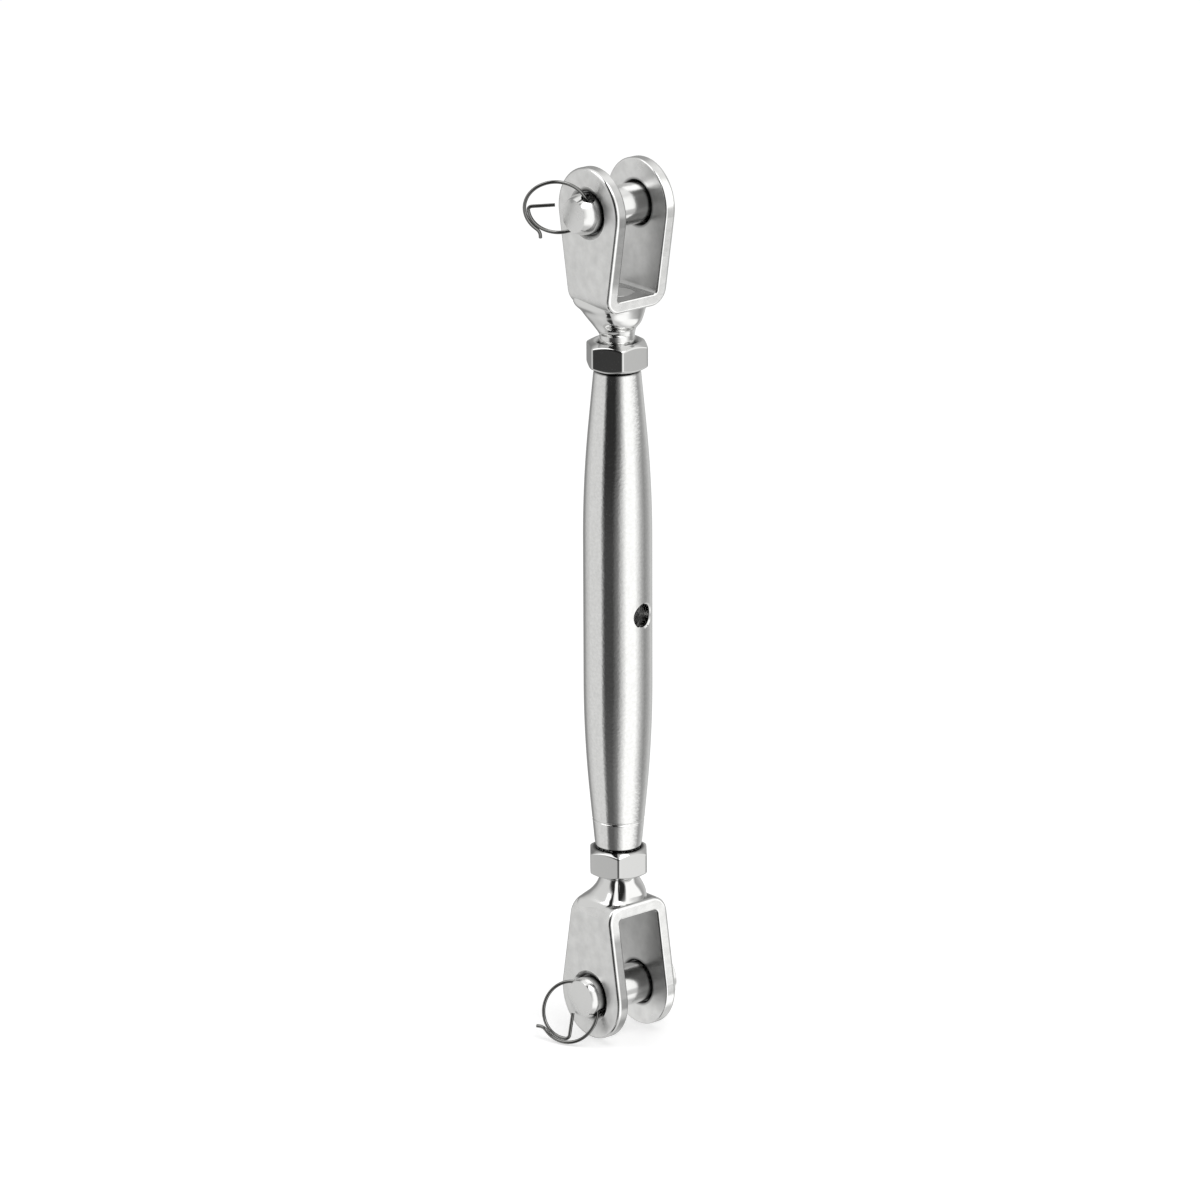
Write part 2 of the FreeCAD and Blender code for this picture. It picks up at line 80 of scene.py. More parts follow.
# the photograph leans by a fifth of a degree
ROLL = math.radians(-0.2)
level = right * math.cos(ROLL) + up * math.sin(ROLL)
upright = up * math.cos(ROLL) - right * math.sin(ROLL)
spot = level * -0.00407 + upright * 0.00207 + back * DISTANCE
camera.matrix_world = Matrix((
    (level.x, upright.x, back.x, spot.x),
    (level.y, upright.y, back.y, spot.y),
    (level.z, upright.z, back.z, spot.z),
    (0, 0, 0, 1),
))
scene.camera = camera
scene.view_settings.view_transform = "Standard"


def new_material(name):
    material = bpy.data.materials.new(name)
    material.use_nodes = True
    tree = material.node_tree
    tree.nodes.clear()
    return material, tree


def node(tree, kind, **values):
    made = tree.nodes.new(kind)
    for key, value in values.items():
        setattr(made, key, value)
    return made


# world: white for the camera and for reflections that leave the tent, soft light for the rest

world = bpy.data.worlds.new("studio")
scene.world = world
world.use_nodes = True
tree = world.node_tree
tree.nodes.clear()
path = node(tree, "ShaderNodeLightPath")
seen = node(tree, "ShaderNodeMath", operation="MAXIMUM")
tree.links.new(path.outputs["Is Camera Ray"], seen.inputs[0])
tree.links.new(path.outputs["Is Glossy Ray"], seen.inputs[1])
shown = node(tree, "ShaderNodeMath", operation="MAXIMUM")
tree.links.new(seen.outputs[0], shown.inputs[0])
tree.links.new(path.outputs["Is Transmission Ray"], shown.inputs[1])
soft = node(tree, "ShaderNodeBackground")
soft.inputs["Strength"].default_value = 0.62
white = node(tree, "ShaderNodeBackground")
white.inputs["Color"].default_value = (1, 1, 1, 1)
white.inputs["Strength"].default_value = 1.0
mix = node(tree, "ShaderNodeMixShader")
out = node(tree, "ShaderNodeOutputWorld")
tree.links.new(shown.outputs[0], mix.inputs[0])
tree.links.new(soft.outputs[0], mix.inputs[1])
tree.links.new(white.outputs[0], mix.inputs[2])
tree.links.new(mix.outputs[0], out.inputs[0])

# the studio walls that polished metal mirrors: pale cloth, one dark card left of the camera, one bright panel right of it

AROUND = [
    (-180, 150), (-147, 130), (-128, 183), (-104, 206), (-58, 206), (-50, 120), (-44, 66), (-17, 66),
    (-11, 90), (0, 120), (9, 180), (19, 220), (29, 255), (60, 255), (73, 217), (86, 172), (101, 140),
    (118, 160), (141, 192), (165, 180), (180, 150),
]
DARK = [(-50, 110), (-29, 104), (-18, 64), (-7, 40), (6, 36), (18, 60), (30, 110)]


def linear(level):
    level = level / 255.0
    return level / 12.92 if level <= 0.04045 else ((level + 0.055) / 1.055) ** 2.4


def tent_light(around, height):
    moved = np.interp(height, [-38, -31, -28, -20, -12, -8], [0, -7, -6, 0, 0, 8])
    moved = around - moved * np.interp(around, [-40, -25, 15, 45], [0, 1, 1, 0])
    level = linear(np.interp(moved, [a for a, b in AROUND], [b for a, b in AROUND]))
    dark = linear(np.interp(height, [a for a, b in DARK], [b for a, b in DARK]))
    card = np.interp(moved, [-54, -46, -16, 8], [0, 1, 1, 0])
    level = level + card * (dark - linear(64)) * (0.5 if dark > linear(64) else 1.0)
    side = np.interp(around, [56, 66, 98, 110], [0, 1, 1, 0]) * np.interp(height, [-31, -27, -9, -5], [1, 0, 0, 1])
    level = level * (1 - side) + linear(252) * side
    top = np.interp(height, [34, 52], [0, 1])
    bottom = np.interp(height, [-58, -40], [1, 0])
    level = level * (1 - top) + linear(232) * top
    level = level * (1 - bottom) + linear(195) * bottom
    low_card = np.interp(around, [-76, -62, -2, 14], [0, 1, 1, 0]) * np.interp(height, [-85, -80, -62, -55], [0, 1, 1, 0])
    level = level * (1 - low_card) + linear(40) * low_card
    high_card = np.interp(around, [-52, -45, -12, 2], [0, 1, 1, 0]) * np.interp(height, [0, 8, 78, 86], [0, 1, 1, 0])
    level = level * (1 - high_card) + linear(36) * high_card
    return max(level, 0.01) / 0.8


mesh = bpy.data.meshes.new("tent")
maker = bmesh.new()
COLUMNS, ROWS = 180, 90
grid = []
for j in range(ROWS + 1):
    height = math.radians(-90 + 180 * j / ROWS)
    grid.append([
        maker.verts.new((
            3 * math.cos(height) * math.cos(2 * math.pi * i / COLUMNS),
            3 * math.cos(height) * math.sin(2 * math.pi * i / COLUMNS),
            3 * math.sin(height),
        ))
        for i in range(COLUMNS)
    ])
for j in range(ROWS):
    for i in range(COLUMNS):
        k = (i + 1) % COLUMNS
        maker.faces.new((grid[j][i], grid[j + 1][i], grid[j + 1][k], grid[j][k]))
maker.to_mesh(mesh)
maker.free()
glow = mesh.color_attributes.new("glow", "FLOAT_COLOR", "POINT")
facing = math.degrees(math.atan2(back.y, back.x))
for i, vertex in enumerate(mesh.vertices):
    x, y, z = vertex.co
    around = (math.degrees(math.atan2(y, x)) - facing + 180) % 360 - 180
    height = math.degrees(math.asin(max(-1, min(1, z / 3))))
    value = tent_light(around, height)
    glow.data[i].color = (value, value, value * 0.99, 1)
tent = bpy.data.objects.new("studio_tent", mesh)
scene.collection.objects.link(tent)
cloth, tree = new_material("tent_cloth")
level = node(tree, "ShaderNodeVertexColor", layer_name="glow")
emit = node(tree, "ShaderNodeEmission")
out = node(tree, "ShaderNodeOutputMaterial")
tree.links.new(level.outputs["Color"], emit.inputs["Color"])
tree.links.new(emit.outputs[0], out.inputs["Surface"])
cloth.cycles.emission_sampling = "NONE"
mesh.materials.append(cloth)
tent.visible_camera = False
tent.visible_diffuse = False
tent.visible_shadow = False
tent.visible_volume_scatter = False

# floor

low = cad_box[0][2] if hasattr(cad_box[0], "__len__") else -0.1045
maker = bmesh.new()
mesh = bpy.data.meshes.new("floor")
bmesh.ops.create_circle(maker, cap_ends=True, segments=96, radius=4.0)
for vertex in maker.verts:
    vertex.co.z = low - 0.0003
maker.to_mesh(mesh)
maker.free()
floor = bpy.data.objects.new("floor", mesh)
scene.collection.objects.link(floor)
paint, tree = new_material("pale_floor")
path = node(tree, "ShaderNodeLightPath")
matt = node(tree, "ShaderNodeBsdfDiffuse")
matt.inputs["Color"].default_value = (0.82, 0.82, 0.82, 1)
lift = node(tree, "ShaderNodeEmission")
share = node(tree, "ShaderNodeMath", operation="MULTIPLY")
share.inputs[1].default_value = 0.5
tree.links.new(path.outputs["Is Camera Ray"], share.inputs[0])
tree.links.new(share.outputs[0], lift.inputs["Strength"])
both = node(tree, "ShaderNodeAddShader")
out = node(tree, "ShaderNodeOutputMaterial")
tree.links.new(matt.outputs[0], both.inputs[0])
tree.links.new(lift.outputs[0], both.inputs[1])
tree.links.new(both.outputs[0], out.inputs["Surface"])
mesh.materials.append(paint)
floor.visible_glossy = False

# lamps

for name, around, height, size, power in (("key", 48, 62, 1.2, 9.0), ("fill", -80, 55, 1.4, 5.0)):
    lamp = bpy.data.lights.new(name, "AREA")
    lamp.shape = "DISK"
    lamp.size = size
    lamp.energy = power
    lit = bpy.data.objects.new(name, lamp)
    scene.collection.objects.link(lit)
    turn = math.radians(facing + around)
    rise = math.radians(height)
    away = Vector((math.cos(turn) * math.cos(rise), math.sin(turn) * math.cos(rise), math.sin(rise)))
    lit.location = away * 2.0
    lit.rotation_euler = away.to_track_quat("Z", "Y").to_euler()

# materials


def metal(name, colour, rough, satin=None, grain=0.0, size=900.0, scale=(1, 1, 1), depth=0.00001, stain=0.0):
    """Bare steel; satin gives a second roughness for faces that look along X, grain a fine bump, stain a slow change of roughness."""
    material, tree = new_material(name)
    shader = node(tree, "ShaderNodeBsdfPrincipled")
    out = node(tree, "ShaderNodeOutputMaterial")
    tree.links.new(shader.outputs[0], out.inputs["Surface"])
    shader.inputs["Base Color"].default_value = (*colour, 1)
    shader.inputs["Metallic"].default_value = 1.0
    shader.inputs["Roughness"].default_value = rough
    place = node(tree, "ShaderNodeTexCoord")
    if satin is not None:
        split = node(tree, "ShaderNodeSeparateXYZ")
        tree.links.new(place.outputs["Normal"], split.inputs[0])
        size_x = node(tree, "ShaderNodeMath", operation="ABSOLUTE")
        tree.links.new(split.outputs[0], size_x.inputs[0])
        blend = node(tree, "ShaderNodeMapRange")
        blend.inputs["From Min"].default_value = 0.75
        blend.inputs["From Max"].default_value = 0.97
        blend.inputs["To Min"].default_value = rough
        blend.inputs["To Max"].default_value = satin
        tree.links.new(size_x.outputs[0], blend.inputs["Value"])
        level = blend.outputs[0]
    else:
        level = None
    if stain:
        slow = node(tree, "ShaderNodeTexNoise")
        slow.inputs["Scale"].default_value = 140.0
        slow.inputs["Detail"].default_value = 4.0
        tree.links.new(place.outputs["Object"], slow.inputs["Vector"])
        drift = node(tree, "ShaderNodeMapRange")
        drift.inputs["From Min"].default_value = 0.3
        drift.inputs["From Max"].default_value = 0.7
        drift.inputs["To Min"].default_value = (0.0 if level is not None else rough) - stain
        drift.inputs["To Max"].default_value = (0.0 if level is not None else rough) + stain
        tree.links.new(slow.outputs[0], drift.inputs["Value"])
        if level is not None:
            total = node(tree, "ShaderNodeMath", operation="ADD")
            tree.links.new(level, total.inputs[0])
            tree.links.new(drift.outputs[0], total.inputs[1])
            level = total.outputs[0]
        else:
            level = drift.outputs[0]
    if level is not None:
        tree.links.new(level, shader.inputs["Roughness"])
    if grain:
        stretch = node(tree, "ShaderNodeMapping")
        stretch.inputs["Scale"].default_value = scale
        noise = node(tree, "ShaderNodeTexNoise")
        noise.inputs["Scale"].default_value = size
        noise.inputs["Detail"].default_value = 3.0
        bump = node(tree, "ShaderNodeBump")
        bump.inputs["Strength"].default_value = grain
        bump.inputs["Distance"].default_value = depth
        tree.links.new(place.outputs["Object"], stretch.inputs["Vector"])
        tree.links.new(stretch.outputs[0], noise.inputs["Vector"])
        tree.links.new(noise.outputs[0], bump.inputs["Height"])
        tree.links.new(bump.outputs[0], shader.inputs["Normal"])
    return material


FINISH = {
    "polished_body": metal("body_steel", (0.80, 0.80, 0.795), 0.09, grain=0.8, size=1400.0, depth=0.000024, stain=0.03),
    "polished_nut": metal("nut_steel", (0.68, 0.68, 0.675), 0.08, grain=0.35, size=1500.0, stain=0.02),
    "satin_strap": metal("strap_steel", (0.80, 0.80, 0.795), 0.16, satin=0.30, grain=0.6, size=1300.0, stain=0.03),
    "threaded_steel": metal("stud_steel", (0.79, 0.79, 0.785), 0.10, grain=0.5, size=700.0, stain=0.02),
    "turned_pin": metal("pin_steel", (0.78, 0.78, 0.775), 0.16, satin=0.27, grain=0.5, size=1100.0, stain=0.03),
    "spring_wire": metal("wire_steel", (0.23, 0.23, 0.225), 0.16, grain=0.3, size=1500.0, stain=0.02),
}


def calc(tree, operation, *inputs):
    made = node(tree, "ShaderNodeMath", operation=operation)
    for socket, value in zip(made.inputs, inputs):
        if isinstance(value, (int, float)):
            socket.default_value = value
        else:
            tree.links.new(value, socket)
    return made.outputs[0]


def ramp(tree, value, low, high, start, end):
    made = node(tree, "ShaderNodeMapRange")
    for name, number in (("From Min", low), ("From Max", high), ("To Min", start), ("To Max", end)):
        made.inputs[name].default_value = number
    tree.links.new(value, made.inputs["Value"])
    return made.outputs[0]


def tint(material, share, base):
    """Multiplies the steel's colour by a share that changes over the surface."""
    tree = material.node_tree
    shader = next(item for item in tree.nodes if item.type == "BSDF_PRINCIPLED")
    colour = node(tree, "ShaderNodeCombineXYZ")
    for socket, number in zip(colour.inputs, base):
        tree.links.new(calc(tree, "MULTIPLY", share, number), socket)
    tree.links.new(colour.outputs[0], shader.inputs["Base Color"])


def surface(material):
    """The tree of a material with its place and direction on the piece, along each axis."""
    tree = material.node_tree
    place = next(item for item in tree.nodes if item.type == "TEX_COORD")
    where = node(tree, "ShaderNodeSeparateXYZ")
    facing = node(tree, "ShaderNodeSeparateXYZ")
    tree.links.new(place.outputs["Object"], where.inputs[0])
    tree.links.new(place.outputs["Normal"], facing.inputs[0])
    return tree, place, where.outputs, facing.outputs


def length_of(tree, a, b):
    return calc(tree, "SQRT", calc(tree, "ADD", calc(tree, "MULTIPLY", a, a), calc(tree, "MULTIPLY", b, b)))


def strap_steel(name, pin, sign, near_pin, near_web):
    """The strap's steel: painted shade between the ears, painted lighter past the pin, a painted shadow where a pin
    enters its hole, and a painted highlight on the rims that is weaker along the inner half of one rim.
    """
    base = (0.80, 0.80, 0.795)
    material = metal(name, base, 0.16, satin=0.30, grain=0.6, size=1300.0, stain=0.03)
    tree, place, (x, y, z), (along, side, rise) = surface(material)
    above = calc(tree, "SUBTRACT", z, pin * MM)
    # painted shadow: dark around the pin, where it enters the hole in each ear
    dark = ramp(tree, length_of(tree, y, above), 5.15 * MM, 5.95 * MM, 0.05, 1.0)
    rim = ramp(tree, calc(tree, "ABSOLUTE", side), 0.6, 0.9, 0.0, 1.0)
    # painted shade on the faces between the ears, away from the rims: darkened by near_pin at the pin and by near_web
    # at the web, and painted lighter past the pin
    inside = ramp(tree, calc(tree, "ABSOLUTE", x), 5.85 * MM, 6.0 * MM, 1.0, 0.0)
    inside = calc(tree, "MULTIPLY", inside, calc(tree, "SUBTRACT", 1.0, rim))
    depth = calc(tree, "MULTIPLY", above, -sign)
    down = calc(tree, "MULTIPLY", ramp(tree, depth, 2 * MM, 19 * MM, near_pin, near_web), ramp(tree, depth, -6 * MM, -1 * MM, -0.5, 1.0))
    painted_shade_and_highlight = calc(tree, "SUBTRACT", 1.0, calc(tree, "MULTIPLY", inside, down))
    # the near ear's rim gets less of the painted highlight along its inner half, down to the web
    rim_highlight_cut = calc(tree, "MULTIPLY", ramp(tree, x, -8.2 * MM, -7.8 * MM, 0.0, 0.58), ramp(tree, x, -5.9 * MM, -5.7 * MM, 1.0, 0.0))
    rim_highlight_cut = calc(tree, "MULTIPLY", rim_highlight_cut, ramp(tree, depth, 15.0 * MM, 17.5 * MM, 1.0, 0.0))
    # painted highlight: the rims are painted brighter than the faces
    bright = calc(tree, "SUBTRACT", 1.18, rim_highlight_cut)
    painted_shade_and_highlight = calc(tree, "ADD", calc(tree, "MULTIPLY", painted_shade_and_highlight, calc(tree, "SUBTRACT", 1.0, rim)), calc(tree, "MULTIPLY", bright, rim))
    slow = node(tree, "ShaderNodeTexNoise")
    slow.inputs["Scale"].default_value = 420.0
    slow.inputs["Detail"].default_value = 4.0
    tree.links.new(place.outputs["Object"], slow.inputs["Vector"])
    mottle = ramp(tree, slow.outputs[0], 0.3, 0.7, 0.88, 1.03)
    tint(material, calc(tree, "MULTIPLY", calc(tree, "MULTIPLY", dark, painted_shade_and_highlight), mottle), base)
    return material


# painted shadow: each nut is painted dark in the gap next to the end of the body
tree, place, (x, y, z), facing_way = surface(FINISH["polished_nut"])
reach = length_of(tree, x, y)
near = ramp(tree, calc(tree, "ABSOLUTE", z), 57.5 * MM, 58.4 * MM, 0.94, 0.0)
dark = calc(tree, "MULTIPLY", near, ramp(tree, reach, 5.6 * MM, 6.2 * MM, 1.0, 0.0))
# painted shade around the mouth of the bore on each nut's outer face
mouth = calc(tree, "MULTIPLY", ramp(tree, reach, 4.4 * MM, 4.9 * MM, 0.75, 0.0), ramp(tree, calc(tree, "ABSOLUTE", z), 61.0 * MM, 62.0 * MM, 0.0, 1.0))
share = calc(tree, "MULTIPLY", calc(tree, "SUBTRACT", 1.0, dark), calc(tree, "SUBTRACT", 1.0, mouth))
# painted shade: the lower nut is painted darker than the upper one
share = calc(tree, "MULTIPLY", share, ramp(tree, z, -10 * MM, 10 * MM, 0.87, 1.0))
tint(FINISH["polished_nut"], share, (0.68, 0.68, 0.675))
tree, place, (x, y, z), facing_way = surface(FINISH["polished_body"])
# painted shade: the ends of the body are painted dark where they meet the nuts, and fine noise varies the tone at
# random
dark = ramp(tree, calc(tree, "ABSOLUTE", z), 56.55 * MM, 56.95 * MM, 1.0, 0.08)
fine = node(tree, "ShaderNodeTexNoise")
fine.inputs["Scale"].default_value = 1500.0
tree.links.new(place.outputs["Object"], fine.inputs["Vector"])
dark = calc(tree, "MULTIPLY", dark, ramp(tree, fine.outputs[0], 0.3, 0.7, 0.94, 1.06))
tint(FINISH["polished_body"], dark, (0.80, 0.80, 0.795))
# the drilled inside of the body is left rough
shader = next(item for item in tree.nodes if item.type == "BSDF_PRINCIPLED")
rough = shader.inputs["Roughness"].links[0].from_socket
drilled = ramp(tree, length_of(tree, x, y), 5.4 * MM, 6.4 * MM, 0.42, 0.0)
drilled = calc(tree, "MULTIPLY", drilled, ramp(tree, calc(tree, "ABSOLUTE", z), 27 * MM, 29 * MM, 1.0, 0.0))
tree.links.new(calc(tree, "ADD", rough, drilled), shader.inputs["Roughness"])


OWN = {
    "upper_jaw": strap_steel("upper_strap_steel", 94.9, 1, 0.05, 0.34),
    "lower_jaw": strap_steel("lower_strap_steel", -92.4, -1, 0.30, 0.50),
}
slots = {part["node"]: part["material_slot"] for part in frame["record"]["subparts"]}
body_of = {name: body for body, names in frame["record"]["behaviour"]["bodies"].items() for name in names}
for name, thing in nodes.items():
    thing.data.materials.clear()
    thing.data.materials.append(OWN.get(name, FINISH[slots[name]]))


def add_piece(name, mesh, replaced):
    piece = bpy.data.objects.new(name, mesh)
    scene.collection.objects.link(piece)
    mesh.materials.append(FINISH[slots[replaced]])
    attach(piece, body_of[replaced])
    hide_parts(replaced)
    return piece


def make_mesh(name, verts, faces):
    mesh = bpy.data.meshes.new(name)
    mesh.from_pydata([tuple(v) for v in verts], [], faces)
    mesh.validate()
    mesh.polygons.foreach_set("use_smooth", [True] * len(mesh.polygons))
    return mesh


def grid_faces(rows, columns, flip=False):
    faces = []
    for j in range(rows - 1):
        for i in range(columns):
            k = (i + 1) % columns
            quad = (j * columns + i, j * columns + k, (j + 1) * columns + k, (j + 1) * columns + i)
            faces.append(quad[::-1] if flip else quad)
    return faces


def weighted_normals(mesh, power=1.5):
    """Large faces keep their own direction and the narrow strips between them turn smoothly."""
    total = np.zeros((len(mesh.vertices), 3))
    for face in mesh.polygons:
        push = np.array(face.normal) * face.area ** power
        for v in face.vertices:
            total[v] += push
    size = np.linalg.norm(total, axis=1)
    total[size == 0] = (0, 0, 1)
    size[size == 0] = 1
    mesh.normals_split_custom_set_from_vertices([tuple(v) for v in total / size[:, None]])


# the turned body

HALF, PLAIN, MIDDLE, END = 57.3, 17.0, 7.9, 5.35
SHARE = 0.667
TAPER = HALF - PLAIN
SLOPE = (MIDDLE - END) / (TAPER * (1 - SHARE / 2))
CURVE = SHARE * TAPER / SLOPE
TURN_Z = PLAIN + SHARE * TAPER
TURN_R = MIDDLE - SLOPE * SHARE * TAPER / 2
MARK = HALF - 6.9
HOLE = 2.75
HOLE_TURN = math.radians(9.75)


def body_radius(z):
    z = abs(z)
    if z <= PLAIN:
        return MIDDLE
    if z <= TURN_Z:
        return MIDDLE - (CURVE - math.sqrt(CURVE * CURVE - (z - PLAIN) ** 2))
    return TURN_R - SLOPE * (z - TURN_Z)


def mark_depth(z):
    """A narrow groove with soft lips at the left hand thread end."""
    off = abs(z + MARK)
    return 0.24 * math.exp(-(off / 0.17) ** 2) - 0.015 * math.exp(-((off - 0.42) / 0.12) ** 2)


def outer(z):
    return body_radius(z) - mark_depth(z)


heights = set()
for z in np.arange(-HALF + 0.5, HALF - 0.49, 1.0):
    heights.add(round(float(z), 4))
for z in np.arange(-MARK - 0.9, -MARK + 0.91, 0.06):
    heights.add(round(float(z), 4))
for z in np.arange(-3.6, 3.61, 0.3):
    heights.add(round(float(z), 4))
heights = sorted(z for z in heights if abs(z) < HALF - 0.78)
edge_break = [(END - 0.75, 0.0), (END - 0.46, 0.1), (END - 0.2, 0.27), (END - 0.05, 0.52)]
profile = [(r, -HALF + drop) for r, drop in edge_break]
profile += [(outer(z), z) for z in heights]
profile += [(r, HALF - drop) for r, drop in reversed(edge_break)]
profile += [(4.55, HALF), (4.05, HALF - 0.5), (4.05, 30.0), (5.2, 28.5), (5.2, 3.5), (5.2, -3.5), (5.2, -28.5), (4.05, -30.0)]
profile += [(4.05, -HALF + 0.5), (4.55, -HALF)]
AROUND_BODY = 240
verts = []
for r, z in profile:
    for i in range(AROUND_BODY):
        turn = 2 * math.pi * i / AROUND_BODY
        verts.append((r * math.cos(turn) * MM, r * math.sin(turn) * MM, z * MM))
faces = grid_faces(len(profile), AROUND_BODY)
last = (len(profile) - 1) * AROUND_BODY
for i in range(AROUND_BODY):
    k = (i + 1) % AROUND_BODY
    faces.append((last + i, last + k, k, i))
blank = bpy.data.objects.new("body_blank", make_mesh("body_blank", verts, faces))
scene.collection.objects.link(blank)

# the cutter for the bar hole follows the round body, so its edge break has one width all the way round
across = Vector((math.cos(HOLE_TURN), math.sin(HOLE_TURN), 0))
through = Vector((-math.sin(HOLE_TURN), math.cos(HOLE_TURN), 0))
EDGE = 0.35
rings = []
COUNT = 96


def surface_at(reach, turn):
    return math.sqrt(max(body_radius(reach * math.sin(turn)) ** 2 - (reach * math.cos(turn)) ** 2, 0))


for side, reach, kind in ((1, HOLE + EDGE + 0.6, "out"), (1, HOLE + EDGE * 0.5, "mid"), (1, HOLE, "in"), (-1, HOLE, "in"), (-1, HOLE + EDGE * 0.5, "mid"), (-1, HOLE + EDGE + 0.6, "out")):
    ring = []
    for i in range(COUNT):
        turn = 2 * math.pi * i / COUNT
        level = surface_at(HOLE + EDGE, turn)
        if kind == "out":
            level = level + 0.6
        if kind == "mid":
            level = level - EDGE * 0.5
        if kind == "in":
            level = surface_at(HOLE, turn) - EDGE - 0.05
        point = (across * (reach * math.cos(turn)) + through * (side * level)) + Vector((0, 0, reach * math.sin(turn)))
        ring.append(point * MM)
    rings.append(ring)
verts = [tuple(p) for ring in rings for p in ring]
faces = grid_faces(len(rings), COUNT)
faces.append(tuple(range(COUNT))[::-1])
faces.append(tuple((len(rings) - 1) * COUNT + i for i in range(COUNT)))
cutter = bpy.data.objects.new("hole_cutter", make_mesh("hole_cutter", verts, faces))
scene.collection.objects.link(cutter)
maker = bmesh.new()
maker.from_mesh(cutter.data)
bmesh.ops.recalc_face_normals(maker, faces=maker.faces)
maker.to_mesh(cutter.data)
maker.free()
maker = bmesh.new()
maker.from_mesh(blank.data)
bmesh.ops.recalc_face_normals(maker, faces=maker.faces)
maker.to_mesh(blank.data)
maker.free()
cut = blank.modifiers.new("cut", "BOOLEAN")
cut.operation = "DIFFERENCE"
cut.solver = "EXACT"
cut.object = cutter
bpy.context.view_layer.update()
shape = bpy.data.meshes.new_from_object(blank.evaluated_get(bpy.context.evaluated_depsgraph_get()))
shape.name = "body_shell"
bpy.data.objects.remove(blank)
bpy.data.objects.remove(cutter)
shape.materials.clear()
shape.polygons.foreach_set("use_smooth", [True] * len(shape.polygons))


def outer_slope(z):
    return (outer(z + 0.01) - outer(z - 0.01)) / 0.02


normals = []
for face in shape.polygons:
    centre = face.center / MM
    reach = math.hypot(centre.x, centre.y)
    flat_normal = face.normal
    radial = (centre.x * flat_normal.x + centre.y * flat_normal.y) / reach
    if radial > 0.6 and abs(reach - outer(centre.z)) < 0.06 and abs(centre.z) < HALF - 0.7:
        kind = "outside"
    elif reach < 5.3 and radial < -0.9:
        kind = "bore"
    elif abs(centre.z) < 3.3 and abs(centre.dot(across)) < 3.3 and reach < 8.0 and abs(radial) < 0.97:
        spot = centre - through * centre.dot(through)
        kind = "hole" if spot.length < HOLE + 0.02 else "edge"
    else:
        kind = "flat"
    for loop in face.loop_indices:
        p = shape.vertices[shape.loops[loop].vertex_index].co / MM
        r = math.hypot(p.x, p.y)
        if kind == "outside":
            n = Vector((p.x / r, p.y / r, -outer_slope(max(-HALF + 0.75, min(HALF - 0.75, p.z)))))
        elif kind == "bore":
            n = Vector((-p.x / r, -p.y / r, 0))
        elif kind == "hole":
            n = through * p.dot(through) - p
        elif kind == "edge":
            lean = p - through * p.dot(through)
            n = through * (1 if p.dot(through) > 0 else -1) - lean.normalized() * 0.9
        else:
            n = Vector(flat_normal)
        normals.append(tuple(n.normalized()))
shape.normals_split_custom_set(normals)
add_piece("body_shell", shape, "barrel")

# locknuts


def make_nut(name, replaced, height, turn):
    flats, half, face_r, bore, mouth, round_r = 6.5, 3.25, 5.8, 4.05, 1.0, 0.75
    outline = []
    for k in range(6):
        corner = math.radians(60 * k + turn)
        reach = flats / math.cos(math.radians(30)) - round_r / math.cos(math.radians(30))
        cx, cy = reach * math.cos(corner), reach * math.sin(corner)
        for step in range(7):
            a = corner + math.radians(-30 + 10 * step)
            outline.append((cx + round_r * math.cos(a), cy + round_r * math.sin(a)))
        following = math.radians(60 * (k + 1) + turn)
        ax, ay = outline[-1]
        bx, by = reach * math.cos(following), reach * math.sin(following)
        a = following - math.radians(30)
        bx, by = bx + round_r * math.cos(a), by + round_r * math.sin(a)
        for step in range(1, 12):
            outline.append((ax + (bx - ax) * step / 12, ay + (by - ay) * step / 12))
    tan = math.tan(math.radians(30))
    rows = []
    edge = 0.32
    for sign in (1, -1):
        part = []
        for r, z in ((bore, 0.0), (bore, half - mouth), (bore + mouth, half), (face_r - 0.05, half)):
            part.append([(r * x / math.hypot(x, y), r * y / math.hypot(x, y), sign * z) for x, y in outline])
        for turn in (0, 22.5, 45, 67.5, 90):
            inward = edge * (1 - math.sin(math.radians(turn)))
            drop = edge * (1 - math.cos(math.radians(turn)))
            line = []
            for x, y in outline:
                r = math.hypot(x, y)
                z = half - max(r - inward - face_r, 0) * tan - drop
                k = (r - inward) / r
                line.append((x * k, y * k, sign * z))
            part.append(line)
        rows += part if sign == 1 else part[:0:-1]
    verts = [(x * MM, y * MM, (z + height) * MM) for line in rows for x, y, z in line]
    count = len(outline)
    faces = grid_faces(len(rows), count, flip=True)
    last = (len(rows) - 1) * count
    for i in range(count):
        k = (i + 1) % count
        faces.append((i, k, last + k, last + i))
    mesh = make_mesh(name, verts, faces)
    maker = bmesh.new()
    maker.from_mesh(mesh)
    bmesh.ops.recalc_face_normals(maker, faces=maker.faces)
    maker.to_mesh(mesh)
    maker.free()
    weighted_normals(mesh)
    return add_piece(name, mesh, replaced)


NUT_Z = HALF + 0.05 + 3.25
make_nut("upper_nut_shell", "upper_locknut", NUT_Z, -1.2)
make_nut("lower_nut_shell", "lower_locknut", -NUT_Z, -9.7)

# studs: rolled thread and a hand ground weld neck

PITCH = 1.25
CREST, ROOT = 4.0, 3.3
